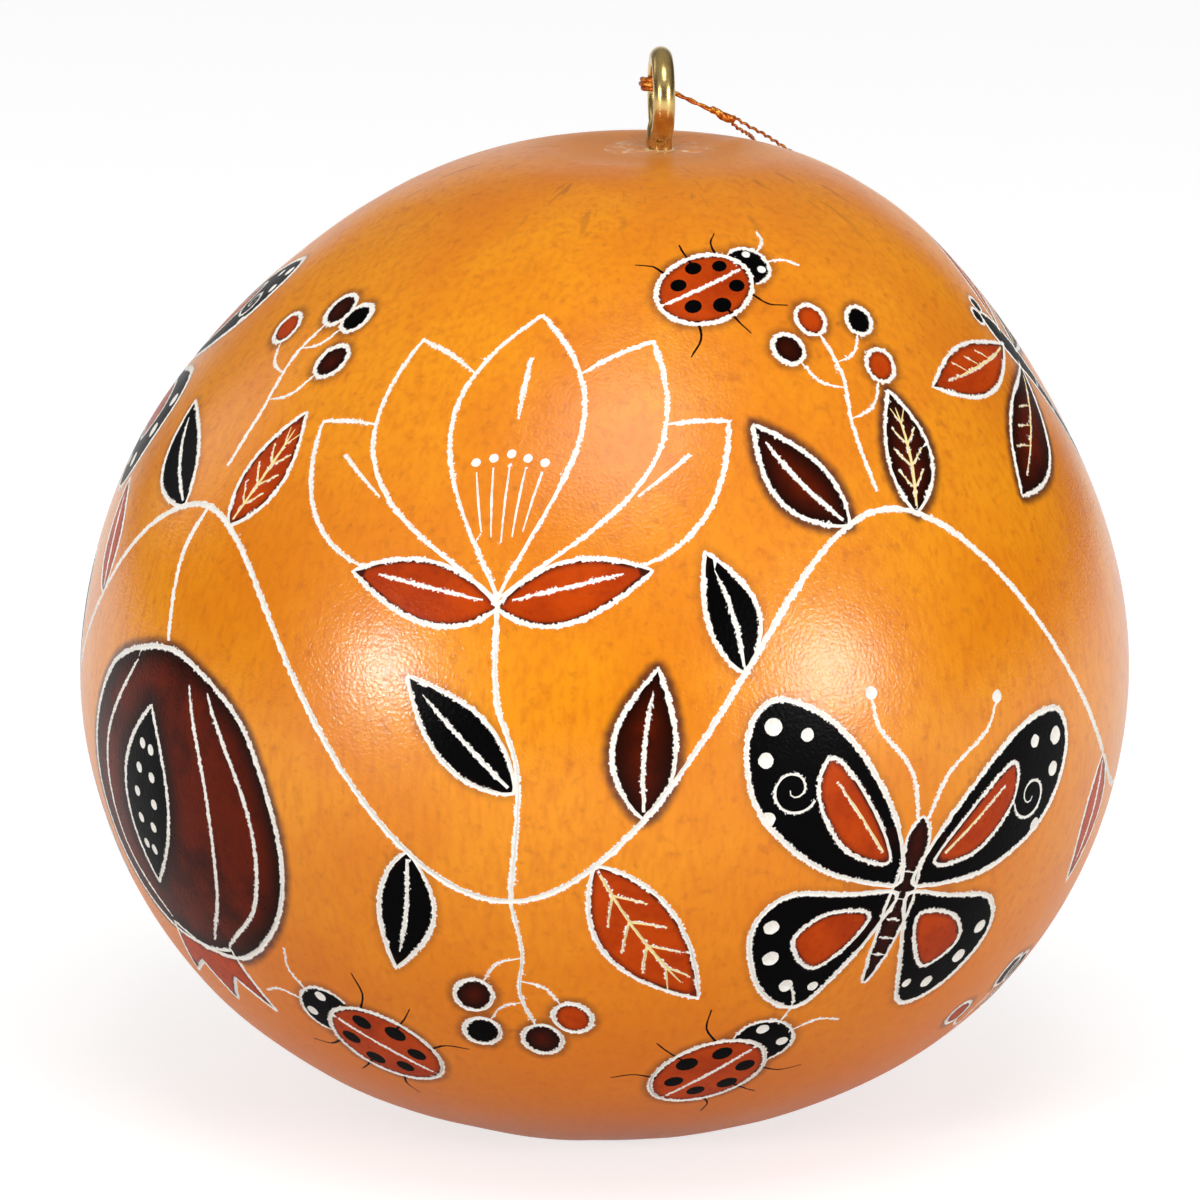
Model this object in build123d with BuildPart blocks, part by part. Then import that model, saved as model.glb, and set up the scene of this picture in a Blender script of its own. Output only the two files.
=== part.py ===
"""A whole dried gourd carved as a hanging ornament.

The gourd is one hollow rind that grew a little lopsided. Its stem is cut off flush, a brass screw eye is
turned into the woody stub, and a loop of gold thread is hitched to the eye. Dry seeds and pith stay inside.
Units are millimetres. The origin is the middle of the resting face, +Z runs up through the stem, and the
carved front faces -Y.
"""

import os
from math import cos, pi, radians, sin, sqrt, tan

from build123d import *

# Gourd rind
body_diameter = 80.0
body_height = 74.5
widest_height = 34.2
base_diameter = 20.0
haunch_diameter = 61.2
haunch_height = 10.7
shoulder_diameter = 59.9
shoulder_drop = 14.2
crown_diameter = 14.0
base_slope = 10.0
crown_slope = 3.6
crown_lean = 2.8
leaning_height = 26.8
rind = 3.2
sections_per_half = 6
blossom_scar_diameter = 4.0
blossom_scar_depth = 0.5

# Stem stub, cut flush with the crown
stub_diameter = 8.2
stub_length = 10.0
stub_taper = 5.0
stub_offset = 1.3
stub_fit = 0.05

# Screw eye, bent from one wire
eye_wire = 1.6
eye_hole = 4.0
eye_neck = 0.3
eye_turn = 6.0
bend_angle = 70.0
closing_angle = 240.0
shank_depth = 8.0
tip_length = 1.8
pilot_fit = 0.05

# Dried glue round the shank
glue_spread = 1.5
glue_height = 0.35
glue_fit = 0.05

# Gold thread
thread = 0.32
thread_sides = 6
hitch_clearance = 0.3
hitch_pitch = 1.15
hitch_angle = -4.0
strand_spread = 0.74
knot_length = 2.0
knot_end_diameter = 1.16
knot_diameter = 1.4
knot_reach = (4.1, 2.0, -2.5)
swing_foot = (0.0, -1.0)
loop_route = [
    (9.3, 5.9, 75.2),
    (10.3, 7.2, 74.6),
    (10.8, 11.6, 73.6),
    (11.9, 16.4, 71.2),
    (12.6, 21.7, 67.2),
    (13.1, 26.7, 62.2),
    (14.2, 30.9, 56.0),
    (15.9, 33.7, 49.8),
    (18.3, 34.9, 44.0),
    (21.5, 34.1, 40.0),
    (24.2, 32.3, 39.7),
    (26.2, 29.8, 43.0),
    (26.6, 26.9, 48.6),
    (25.2, 24.1, 54.7),
    (22.4, 21.3, 60.9),
    (19.4, 17.9, 66.3),
    (16.4, 14.1, 70.5),
    (13.3, 10.6, 73.2),
    (11.2, 6.4, 74.6),
    (9.7, 5.2, 75.2),
]

# Seeds and pith left inside
seed_length = 9.0
seed_width = 4.6
seed_thickness = 1.8
seed_point_width = 1.6
seed_bevel = 30.0
first_row = 6.0
row_gap = 3.0
seeds_in_row = (8, 12)
pith_diameter = 17.0
pith_thickness = 3.0
loose_fit = 0.35

parts_folder = "parts"
os.makedirs(parts_folder, exist_ok=True)


def finish(piece, name):
    """Label a finished piece and write it to its own file."""
    piece.label = name
    export_step(piece, f"{parts_folder}/{name}.step")


# Outline of the rind from the resting face to the crown, as radius and height
with BuildLine() as outline:
    lower_curve = Spline(
        (base_diameter / 2, 0),
        (haunch_diameter / 2, haunch_height),
        (body_diameter / 2, widest_height),
        tangents=((cos(radians(base_slope)), sin(radians(base_slope))), (0, 1)),
        tangent_scalars=(1, 1),
    )
    upper_curve = Spline(
        (body_diameter / 2, widest_height),
        (shoulder_diameter / 2, body_height - shoulder_drop),
        (crown_diameter / 2, body_height),
        tangents=((0, 1), (-cos(radians(crown_slope)), sin(radians(crown_slope)))),
        tangent_scalars=(1, 1),
    )


def lean_at(height):
    """Sideways place of the rind's middle at a height: straight below, curving over towards the crown."""
    rise = max(0.0, height - (body_height - leaning_height))
    return crown_lean * (rise / leaning_height) ** 2


def rind_circles(inset):
    """Plane and radius of the level circles of the rind, set in from the outer skin."""
    stations = [(lower_curve, i / sections_per_half) for i in range(sections_per_half)]
    stations += [(upper_curve, i / sections_per_half) for i in range(sections_per_half + 1)]
    for curve, share in stations:
        point, along = curve @ share, curve % share
        radius = point.X - inset * along.Y
        height = point.Y + inset * along.X
        yield Plane((lean_at(point.Y), 0, height)), radius


# Middle of the cut stem and of the eye's ring
stem_x = crown_lean + stub_offset
stub_top = Plane((stem_x, 0, body_height))

# Rind: a hollow shell with a tapered hole for the stub and the small scar of the blossom below
with BuildPart() as gourd_shell:
    for level, radius in rind_circles(0):
        with BuildSketch(level):
            Circle(radius)
    loft()
    for level, radius in rind_circles(rind):
        with BuildSketch(level):
            Circle(radius)
    loft(mode=Mode.SUBTRACT)
    with BuildSketch(stub_top):
        Circle(stub_diameter / 2 + stub_fit)
    extrude(amount=-stub_length, taper=stub_taper, mode=Mode.SUBTRACT)
    with BuildSketch(Plane.XY):
        Circle(blossom_scar_diameter / 2)
    extrude(amount=blossom_scar_depth, taper=45, mode=Mode.SUBTRACT)
finish(gourd_shell.part, "gourd_shell")

# Stem stub with the pilot hole of the screw eye
with BuildPart() as stem_stub:
    with BuildSketch(stub_top):
        Circle(stub_diameter / 2)
    extrude(amount=-stub_length, taper=stub_taper)
    with Locations(stub_top):
        Hole(radius=eye_wire / 2 + pilot_fit, depth=shank_depth + pilot_fit)
finish(stem_stub.part, "stem_stub")

# Screw eye: shank, one bend to the front, and a ring that closes against the shank behind
ring_radius = (eye_hole + eye_wire) / 2
bend_radius = ring_radius * cos(radians(bend_angle)) / (1 - cos(radians(bend_angle)))
ring_height = eye_neck + bend_radius * sin(radians(bend_angle)) + ring_radius * sin(radians(bend_angle))
eye_plane = Plane(
    origin=(stem_x, 0, body_height),
    x_dir=(-sin(radians(eye_turn)), cos(radians(eye_turn)), 0),
    z_dir=(cos(radians(eye_turn)), sin(radians(eye_turn)), 0),
)
with BuildPart() as screw_eye:
    with BuildLine(eye_plane) as eye_line:
        shank = Line((0, tip_length - shank_depth), (0, eye_neck))
        bend = CenterArc((-bend_radius, eye_neck), bend_radius, 0, bend_angle)
        ring = CenterArc((0, ring_height), ring_radius, 180 + bend_angle, -bend_angle - closing_angle)
    with BuildSketch(Plane(origin=shank @ 0, z_dir=shank % 0)):
        Circle(eye_wire / 2)
    sweep(path=eye_line.wires()[0])
    with BuildSketch(Plane(origin=shank @ 0, z_dir=(shank % 0) * -1)):
        Circle(eye_wire / 2)
    extrude(amount=tip_length, taper=20)
finish(screw_eye.part, "screw_eye")

# Glue: a thin fillet on the cut stem round the shank
with BuildPart() as glue_bead:
    with BuildSketch(Plane(origin=(stem_x, 0, body_height), x_dir=(1, 0, 0), z_dir=(0, -1, 0))):
        with BuildLine():
            glue_inner = eye_wire / 2 + glue_fit
            glue_radius = 0.7 * (glue_spread**2 + glue_height**2) / glue_height
            Polyline((glue_inner + glue_spread, 0), (glue_inner, 0), (glue_inner, glue_height))
            RadiusArc((glue_inner, glue_height), (glue_inner + glue_spread, 0), -glue_radius)
        make_face()
    revolve(axis=Axis((stem_x, 0, 0), (0, 0, 1)))
finish(glue_bead.part, "glue_bead")

# Thread: where it is hitched on the far side of the ring, and the axis it swings about
hitch_centre = eye_plane.from_local_coords(
    (ring_radius * cos(radians(hitch_angle)), ring_height + ring_radius * sin(radians(hitch_angle)), 0)
)
swing_axis = (hitch_centre - Vector(*swing_foot, widest_height)).normalized()
knot_way = Vector(*knot_reach).normalized()
across = swing_axis.cross(knot_way).normalized()
outward = across.cross(swing_axis)
knot_centre = hitch_centre + Vector(*knot_reach)
near_face = knot_centre - knot_way * (knot_length / 2)
far_face = knot_centre + knot_way * (knot_length / 2)
strand_offset = across * (strand_spread / 2)
hitch_radius = eye_wire / 2 + hitch_clearance + thread / 2
print("swing axis through", hitch_centre, "along", swing_axis)


def biarc(start, start_way, end, end_way):
    """Two arcs that meet smoothly and leave and arrive along the given directions."""
    gap, ways = end - start, start_way + end_way
    a, b, c = 2 * (1 - start_way.dot(end_way)), 2 * gap.dot(ways), -gap.dot(gap)
    reach = -c / b if abs(a) < 1e-6 else (sqrt(b * b - 4 * a * c) - b) / (2 * a)
    middle = (start + end + (start_way - end_way) * reach) * 0.5
    TangentArc(start, middle, tangent=start_way)
    TangentArc(middle, end, tangent=end_way * -1, tangent_from_first=False)


def hitch_point(quarter):
    """Point and direction of the thread on its way round the wire, counted in quarter turns."""
    angle = pi / 2 * quarter
    rise = hitch_pitch / (2 * pi)
    round_wire = outward * cos(angle) + across * sin(angle)
    along_wire = across * cos(angle) - outward * sin(angle)
    point = hitch_centre + round_wire * hitch_radius + swing_axis * (rise * (angle - 2 * pi))
    return point, (along_wire * hitch_radius + swing_axis * rise).normalized()


def print_tube(name, path, tube):
    """Print a tube's length, its volume against section times length, and its least gap to itself."""
    steps = int(path.length / thread)
    points = [path @ (i / steps) for i in range(steps + 1)]
    apart = int(4 * hitch_radius / thread)
    gap = min((points[j] - points[i]).length for i in range(steps + 1) for j in range(i + apart, steps + 1))
    section = thread_sides * thread**2 / 8 * sin(2 * pi / thread_sides)
    fill = tube.volume / (section * path.length)
    print(name, "length", round(path.length, 1), "fill", round(fill, 3), "least gap", round(gap - thread, 2))


# Hitched end of the thread: from the knot one and a half times round the wire and back to the knot
with BuildPart() as cord_bight:
    with BuildLine() as bight_line:
        leave, arrive = near_face + strand_offset, near_face - strand_offset
        straight = knot_way * thread
        Line(leave, leave - straight)
        biarc(leave - straight, knot_way * -1, *hitch_point(1))
        for quarter in range(1, 7):
            biarc(*hitch_point(quarter), *hitch_point(quarter + 1))
        biarc(*hitch_point(7), arrive - straight, knot_way)
        Line(arrive - straight, arrive)
    bight_path = bight_line.wires()[0]
    with BuildSketch(Plane(origin=leave, z_dir=knot_way)):
        RegularPolygon(thread / 2, thread_sides)
    sweep(path=bight_path)
finish(cord_bight.part, "cord_bight")
print_tube("bight", bight_path, cord_bight.part)

# Knot that closes the hitch, a small barrel with flat ends
with BuildPart() as cord_knot:
    with BuildSketch(Plane(origin=knot_centre, x_dir=across, z_dir=across.cross(knot_way))):
        with BuildLine():
            Line((0, -knot_length / 2), (0, knot_length / 2))
            Line((0, knot_length / 2), (knot_end_diameter / 2, knot_length / 2))
            ThreePointArc(
                (knot_end_diameter / 2, knot_length / 2),
                (knot_diameter / 2, 0),
                (knot_end_diameter / 2, -knot_length / 2),
            )
            Line((knot_end_diameter / 2, -knot_length / 2), (0, -knot_length / 2))
        make_face()
    revolve(axis=Axis(knot_centre, knot_way))
finish(cord_knot.part, "cord_knot")

# Free loop of the thread: out of the knot, over the shoulder at the back, and back to the knot
loop_points = [far_face + strand_offset]
loop_points += [Vector(*point) for point in loop_route]
loop_points += [far_face - strand_offset]
loop_radii = []
for before, corner, after in zip(loop_points, loop_points[1:], loop_points[2:]):
    shorter_run = min((corner - before).length, (after - corner).length)
    half_turn = radians((corner - before).get_angle(after - corner)) / 2
    loop_radii.append(0.45 * shorter_run / tan(half_turn))
print("loop radii", [round(radius, 1) for radius in loop_radii])
with BuildPart() as hanging_loop:
    with BuildLine() as loop_line:
        FilletPolyline(*loop_points, radius=loop_radii)
    loop_path = loop_line.wires()[0]
    with BuildSketch(Plane(origin=loop_path @ 0, z_dir=loop_path % 0)):
        RegularPolygon(thread / 2, thread_sides)
    sweep(path=loop_path)
finish(hanging_loop.part, "hanging_loop")
print_tube("loop", loop_path, hanging_loop.part)

# Dried pith, shrunk to a low cake on the floor of the hollow
floor_height = rind * cos(radians(base_slope))
with BuildPart() as pith_cake:
    with BuildSketch(Plane.XZ):
        with BuildLine():
            pith_floor, pith_top = floor_height + loose_fit, floor_height + loose_fit + pith_thickness
            Polyline(
                (0, pith_floor),
                (pith_diameter / 2, pith_floor),
                (pith_diameter / 2, pith_top - pith_thickness * 0.6),
                (pith_diameter / 3, pith_top - pith_thickness * 0.2),
                (pith_diameter / 8, pith_top),
                (0, pith_top),
                close=True,
            )
        make_face()
    revolve(axis=Axis.Z)
finish(pith_cake.part, "pith_cake")

# Seeds: flat, bevelled and broader at one end, lying in rows on the wall of the hollow
with BuildPart() as one_seed:
    with BuildSketch():
        with BuildLine():
            Polyline(
                (-seed_length / 2, seed_point_width / 2),
                (seed_length * 0.15, seed_width / 2),
                (seed_length * 0.4, seed_width / 2),
                (seed_length / 2, seed_width * 0.3),
                (seed_length / 2, -seed_width * 0.3),
                (seed_length * 0.4, -seed_width / 2),
                (seed_length * 0.15, -seed_width / 2),
                (-seed_length / 2, -seed_point_width / 2),
                close=True,
            )
        make_face()
    extrude(amount=seed_thickness / 2, both=True, taper=seed_bevel)


def seed_places():
    """Place of each seed: rows round the hollow, every second seed turned end for end."""
    for row, count in enumerate(seeds_in_row):
        distance = first_row + row * (seed_length + row_gap)
        point = lower_curve.position_at(distance, PositionMode.LENGTH)
        along = lower_curve.tangent_at(distance, PositionMode.LENGTH)
        depth = rind + loose_fit + seed_thickness / 2
        radius, height = point.X - depth * along.Y, point.Y + depth * along.X
        for i in range(count):
            turn = 2 * pi * (i + row / 2) / count
            side, way = Vector(cos(turn), sin(turn), 0), 1 - 2 * (i % 2)
            slope = (side * along.X + Vector(0, 0, along.Y)) * way
            inward = Vector(0, 0, along.X) - side * along.Y
            yield Plane(origin=side * radius + Vector(0, 0, height), x_dir=slope, z_dir=inward)


with BuildPart() as seeds:
    with Locations(*seed_places()):
        add(one_seed.part)
finish(seeds.part, "seeds")
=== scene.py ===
from math import cos, pi, radians, sin, sqrt
from types import SimpleNamespace

import bpy
import numpy as np
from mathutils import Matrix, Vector, noise
from mathutils.geometry import delaunay_2d_cdt
from mathutils.kdtree import KDTree


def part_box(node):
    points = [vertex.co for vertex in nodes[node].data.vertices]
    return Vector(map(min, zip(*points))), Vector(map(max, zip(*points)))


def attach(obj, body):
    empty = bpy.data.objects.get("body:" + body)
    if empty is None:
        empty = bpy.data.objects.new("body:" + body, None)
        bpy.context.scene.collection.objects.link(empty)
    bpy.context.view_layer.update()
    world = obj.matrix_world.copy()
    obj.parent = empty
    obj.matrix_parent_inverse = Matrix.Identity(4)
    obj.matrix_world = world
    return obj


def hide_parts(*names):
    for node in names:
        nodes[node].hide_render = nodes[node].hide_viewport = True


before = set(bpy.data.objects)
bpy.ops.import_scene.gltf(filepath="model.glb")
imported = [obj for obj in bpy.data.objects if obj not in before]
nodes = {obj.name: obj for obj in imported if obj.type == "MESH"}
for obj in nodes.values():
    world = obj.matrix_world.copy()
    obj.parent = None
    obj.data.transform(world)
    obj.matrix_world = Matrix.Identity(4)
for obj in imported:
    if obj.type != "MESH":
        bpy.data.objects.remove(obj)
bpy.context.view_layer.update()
mm = 0.001


# Rind. The gourd is one dried fruit, scraped, sanded and waxed, hollow and about 3 mm thick. Its outline is
# the solid's own: a flat to stand on, a full belly, and a crown that grew over to one side.
low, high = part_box("gourd_shell")
belly = (high.x - low.x) / 2 / mm
crown_height = high.z / mm
widest_height, base_radius, crown_radius = 34.2, 10.0, 7.0
haunch, shoulder = (30.6, 10.7), (29.95, crown_height - 14.2)
base_slope, crown_slope = radians(10.0), radians(3.6)
crown_lean, leaning_height = 2.8, 26.8
rind = 3.2
stem_x, stem_hole, stem_taper = 4.1, 4.15, radians(5.0)
blossom_scar, scar_depth = 2.0, 0.5


def flow(points, first_way, last_way):
    """Smooth curve through three points that leaves and arrives along the given directions."""
    p0, p1, p2 = (np.array(point) for point in points)
    h0, h1 = np.linalg.norm(p1 - p0), np.linalg.norm(p2 - p1)
    middle_way = 3 * (p1 - p0) / h0**2 + 3 * (p2 - p1) / h1**2 - first_way / h0 - last_way / h1
    middle_way /= 2 / h0 + 2 / h1
    t = np.linspace(0, 1, 160)[:, None]
    halves = []
    for a, b, way_a, way_b, h in ((p0, p1, first_way, middle_way, h0), (p1, p2, middle_way, last_way, h1)):
        start = (2 * t**3 - 3 * t**2 + 1) * a + (t**3 - 2 * t**2 + t) * h * way_a
        halves.append(start + (3 * t**2 - 2 * t**3) * b + (t**3 - t**2) * h * way_b)
    return np.vstack([halves[0][:-1], halves[1]])


widest, straight_up = (belly, widest_height), np.array([0.0, 1.0])
off_base = np.array([cos(base_slope), sin(base_slope)])
onto_crown = np.array([-cos(crown_slope), sin(crown_slope)])
lower = flow([(base_radius, 0.0), haunch, widest], off_base, straight_up)
upper = flow([widest, shoulder, (crown_radius, crown_height)], straight_up, onto_crown)
outline = np.vstack([lower[:-1], upper])
outline_way = np.gradient(outline, axis=0)
outline_way /= np.linalg.norm(outline_way, axis=1)[:, None]
outward = np.stack([outline_way[:, 1], -outline_way[:, 0]], -1)

# The skin is drawn flat before it is wrapped: across is the way round, up follows the outline, and both are
# stretched alike at every height, so that a motif keeps its shape. Sizes are true at the belly.
steps = np.linalg.norm(np.diff(outline, axis=0), axis=1)
rises = steps * belly / (outline[1:, 0] + outline[:-1, 0]) * 2
drawing_up = np.r_[0, np.cumsum(rises)]
drawing_up -= np.interp(widest_height, outline[:, 1], drawing_up)


def radius_at(up):
    return np.interp(up, drawing_up, outline[:, 0])


def up_at(height):
    return np.interp(height, outline[:, 1], drawing_up)


def lean_at(height):
    return crown_lean * (np.maximum(0, height - (crown_height - leaning_height)) / leaning_height) ** 2


def on_rind(across, up, depth):
    """Points of the rind in metres, sunk below the skin, from their places on the flat drawing."""
    height = np.interp(up, drawing_up, outline[:, 1])
    side = np.interp(up, drawing_up, outward[:, 0])
    rise = np.interp(up, drawing_up, outward[:, 1])
    radius = radius_at(up) - depth * side
    turn = across / belly
    spots = [lean_at(height) + radius * np.sin(turn), -radius * np.cos(turn), height - depth * rise]
    return np.stack(spots, -1) * mm


def scar_edge(turn):
    """How far the edge of the stem scar strays from a circle, as a factor."""
    x, y = cos(turn), sin(turn)
    return 1 + 0.1 * noise.noise((1.3 * x, 1.3 * y, 5.0)) + 0.04 * noise.noise((4 * x, 4 * y, 9.0))


# Carving. The whole surface is worked by hand: lines are gouged through the skin to the white rind, areas
# are dyed russet or black, and the dark brown ones are burnt with a hot point, which scorches their edges.
hand = np.random.RandomState(7)
SKIN, WHITE, CREAM, RUSSET, BROWN, BLACK, INSIDE = range(7)
scorching = {SKIN: 0.0, RUSSET: 0.15, BROWN: 0.95, BLACK: 0.4}
broad_gouge, gouge, needle, chip = 0.54, 0.38, 0.26, 0.32
clean_share, depth_share = 0.68, 0.3
cuts, dyes, pits = [], [], []


def spot(turn, height, tilt=0.0, size=1.0):
    """Place for a motif: degrees round from the front, height, tilt and size."""
    return spot_on(radians(turn) * belly, up_at(height), tilt, size)


def rotated(points, tilt, size=1.0, flip=1):
    """Points turned round their origin by some degrees, scaled, and mirrored where flip is -1."""
    c, s = cos(radians(tilt)) * size, sin(radians(tilt)) * size
    return np.atleast_2d(np.array(points, float)) @ [[flip * c, flip * s], [-s, c]]


def spot_on(across, up, tilt=0.0, size=1.0):
    """Place for a motif on the flat drawing, as a function from its own millimetres."""
    stretch = belly / radius_at(up) * size
    return lambda points: rotated(points, tilt, stretch) + [across, up]


def within(where, x, y, tilt=0.0, flip=1):
    """Place inside another motif's place."""
    return lambda points: where(rotated(points, tilt, 1.0, flip) + [x, y])


def evenly(line, closed=False):
    """The same line with a point for each chip of the gouge."""
    line = np.array(line, float)
    if closed:
        line = np.vstack([line, line[:1]])
    along = np.r_[0, np.cumsum(np.linalg.norm(np.diff(line, axis=0), axis=1))]
    even = np.linspace(0, along[-1], max(4, int(round(along[-1] / chip))) + 1)
    line = np.stack([np.interp(even, along, line[:, 0]), np.interp(even, along, line[:, 1])], -1)
    return line[:-1] if closed else line


def smooth(points, closed=False):
    """A flowing line through a few given points."""
    p = np.array(points, float)
    if closed:
        ring = np.vstack([p[-1:], p, p[:2]])
    else:
        ring = np.vstack([2 * p[:1] - p[1:2], p, 2 * p[-1:] - p[-2:-1]])
    t = np.linspace(0, 1, 13)[:-1, None]
    spans = []
    for a, b, c, d in zip(ring, ring[1:], ring[2:], ring[3:]):
        bends = (2 * a - 5 * b + 4 * c - d) * t**2 + (3 * b - a - 3 * c + d) * t**3
        spans.append(b + 0.5 * ((c - a) * t + bends))
    return evenly(np.vstack(spans if closed else spans + [p[-1:]]), closed)


def cut(where, line, width=gouge, tint=WHITE, ends=(0.6, 0.6), closed=False, burn=0.0, rim=False):
    """Gouge a line: it swells and thins with the pressure of the hand, and its edges chip."""
    centre = where(line)
    count = len(centre)
    beats = np.arange(0, count + 9, 9)
    press = 1 + 0.14 * np.interp(np.arange(count), beats, hand.uniform(-1, 1, len(beats)))
    if not closed:
        run = np.minimum(1, np.arange(count) / 8)
        press = press * (ends[0] + (1 - ends[0]) * run) * (ends[1] + (1 - ends[1]) * run[::-1])
    half = clean_share * width / 2 * press * belly / radius_at(centre[:, 1])
    left, right = (half * (1 + hand.uniform(-0.2, 0.26, count)) for side in range(2))
    depth = depth_share * width * (tint != BLACK)
    kind = {"tint": tint, "closed": closed, "burn": burn, "rim": rim}
    cuts.append(SimpleNamespace(centre=centre, left=left, right=right, depth=depth, **kind))


def straight(where, start, end, width, tint=WHITE, ends=(0.6, 0.6)):
    cut(where, evenly([start, end]), width, tint, ends)


def shape(where, line, tint, width=gouge, burn=None):
    """Dye or burn an area and cut round it."""
    dyes.append((where(line), tint, False))
    cut(where, line, width, closed=True, burn=scorching[tint] if burn is None else burn, rim=True)


def patch(where, line, tint):
    """Dye an area with no cut round it."""
    dyes.append((where(line), tint, True))


def dot(where, x, y, radius):
    """Punch a small white pit."""
    turn = np.linspace(0, 2 * pi, max(13, int(radius * 24)) + 1)[:-1]
    wobble = radius * (1 + hand.uniform(-0.06, 0.06, len(turn)))
    dyes.append((where(np.stack([x + wobble * np.cos(turn), y + wobble * np.sin(turn)], -1)), WHITE, True))
    pits.append((where([(x, y)])[0], radius))


def oval(x, y, width, height, tilt=0.0):
    """A closed oval line."""
    turn = np.linspace(0, 2 * pi, max(12, int(pi * (width + height) / 2 / chip)) + 1)[:-1]
    return rotated(np.stack([width / 2 * np.cos(turn), height / 2 * np.sin(turn)], -1), tilt) + [x, y]


def curl(x, y, radius, turns, start):
    """A scroll that winds in from its outer end."""
    t = np.linspace(0, 1, 60)
    angle = radians(start) + 2 * pi * turns * t
    reach = radius * (1 - 0.85 * t)
    return evenly(np.stack([x + reach * np.cos(angle), y + reach * np.sin(angle)], -1))


def inside(points, line):
    """Which of the points lie inside a closed line."""
    px, py = points[:, 0], points[:, 1]
    hit = np.zeros(len(points), bool)
    for (x0, y0), (x1, y1) in zip(line, np.roll(line, -1, axis=0)):
        if y0 != y1:
            hit ^= ((y0 > py) != (y1 > py)) & (px < (x1 - x0) * (py - y0) / (y1 - y0) + x0)
    return hit


def leaf_line(length, width, bow=0.0, fullness=0.85):
    """Outline of a pointed leaf that grows up from its stalk."""
    t = np.linspace(0, 1, int(length / chip) + 4)
    half = width / 2 * np.sin(pi * t**fullness) ** 0.9
    spine = bow * np.sin(pi * t)
    right = np.stack([spine + half, t * length], -1)
    left = np.stack([spine - half, t * length], -1)
    return np.vstack([right, left[::-1][1:-1]])


def leaf(where, length, width, tint, veins=0, vein_tint=WHITE, bow=0.0):
    """A dyed leaf with a midrib and, on the larger ones, slanting side veins."""
    shape(where, leaf_line(length, width, bow), tint)
    reach = np.linspace(0.05, 0.84, 12)
    cut(where, evenly(np.stack([bow * np.sin(pi * reach), reach * length], -1)), 0.36, vein_tint, (1, 0.3))
    for i in range(veins):
        t = 0.18 + 0.52 * i / max(1, veins - 1)
        x, y = bow * sin(pi * t), t * length
        half = width / 2 * sin(pi * (t + 0.1) ** 0.85)
        for side in (-1, 1):
            tip = (x + side * 0.66 * half, y + 0.14 * length)
            straight(where, (x, y), tip, 0.32, vein_tint, (0.9, 0.35))


def berry(where, x, y, radius, tint, tilt=0.0):
    """A round berry."""
    shape(where, oval(x, y, radius * 2, radius * 2.3, tilt), tint, 0.38, 0.6)


def sprig(where, height, tints, lean=1):
    """A thin stem with berries on side stalks."""
    size = 1.5 * min(1.0, height / 12)
    stem = smooth([(0, 0), (0.6 * lean, height * 0.35), (0.2 * lean, height * 0.7), (1.2 * lean, height)])
    cut(where, stem, 0.36, ends=(1, 0.6))
    for i, tint in enumerate(tints):
        side = -1 if i % 2 else 1
        t = 0.42 + 0.54 * i / len(tints)
        x0, y0 = stem[int(t * (len(stem) - 1))]
        reach = height * (0.38 - 0.1 * t)
        x1, y1 = x0 + side * reach * 0.8, y0 + reach * 0.62
        cut(where, smooth([(x0, y0), (x0 + side * reach * 0.5, y0 + reach * 0.18), (x1, y1)]), needle)
        berry(where, x1 + side * 0.6 * size, y1 + size, size, tint, -30 * side)
    berry(where, stem[-1][0] + 0.4 * lean, stem[-1][1] + 1.1 * size, 1.1 * size, tints[0])


def fern(where, height, tint, pairs, bow):
    """A frond of narrow leaves along a curved stem."""
    stem = smooth([(0, 0), (bow, height * 0.4), (bow * 0.7, height * 0.75), (-bow * 0.4, height)])
    cut(where, stem, 0.4, ends=(1, 0.4))
    for i in range(pairs):
        t = 0.24 + 0.72 * i / pairs
        x, y = stem[int(t * (len(stem) - 1))]
        length = height * 0.4 * (1 - 0.5 * t)
        for side in (-1, 1):
            small = within(where, x + side * 0.2, y, -side * (60 - 16 * t))
            shape(small, leaf_line(length, length * 0.34), tint, 0.32)


def seen_runs(line, nearer):
    """The stretches of a closed line that no nearer shape covers."""
    shown = np.ones(len(line), bool)
    for cover in nearer:
        shown &= ~inside(line, cover)
    if shown.all():
        return [line], True
    first = int(np.argmin(shown))
    line, shown = np.roll(line, -first, axis=0), np.roll(shown, -first)
    stops = np.flatnonzero(np.diff(np.r_[0, shown.astype(int), 0]))
    return [line[i:j] for i, j in zip(stops[::2], stops[1::2]) if j - i > 4], False


def blossom(where, height):
    """An open cup blossom seen from the side, left the colour of the skin, over two dyed sepals."""
    petals = [(0, 1.0, 0.44), (28, 0.97, 0.42), (-28, 0.97, 0.42), (54, 0.86, 0.38), (-54, 0.86, 0.38)]
    nearer = []
    for side in (-1, 1):
        sepal = leaf_line(height * 0.42, height * 0.17)
        turned = np.stack([side * sepal[:, 1], 0.2 * sepal[:, 1] + sepal[:, 0] - 0.02 * height], -1)
        shape(where, turned, RUSSET)
        straight(where, (side * 0.04 * height, 0), (side * 0.34 * height, 0.06 * height), needle)
        nearer.append(turned)
    for tilt, reach, fullness in petals:
        c, s = cos(radians(tilt)), sin(radians(tilt))
        line = rotated(leaf_line(height * reach, height * fullness, fullness=1.25), -tilt)
        runs, whole = seen_runs(line, nearer)
        for run in runs:
            cut(where, run, closed=whole)
        if tilt == 0 or abs(tilt) > 40:
            start, end = height * reach * 0.56, height * reach * 0.8
            straight(where, (start * s, start * c), (end * s, end * c), gouge, ends=(0.3, 0.8))
        nearer.append(line)
    for x in np.linspace(-0.1, 0.1, 5) * height:
        top = height * 0.4 - abs(x) * 0.3
        straight(where, (x * 0.6, height * 0.16 + abs(x) * 0.3), (x, top), 0.26)
        dot(where, x * 1.08, top + 0.9, 0.4)


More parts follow.
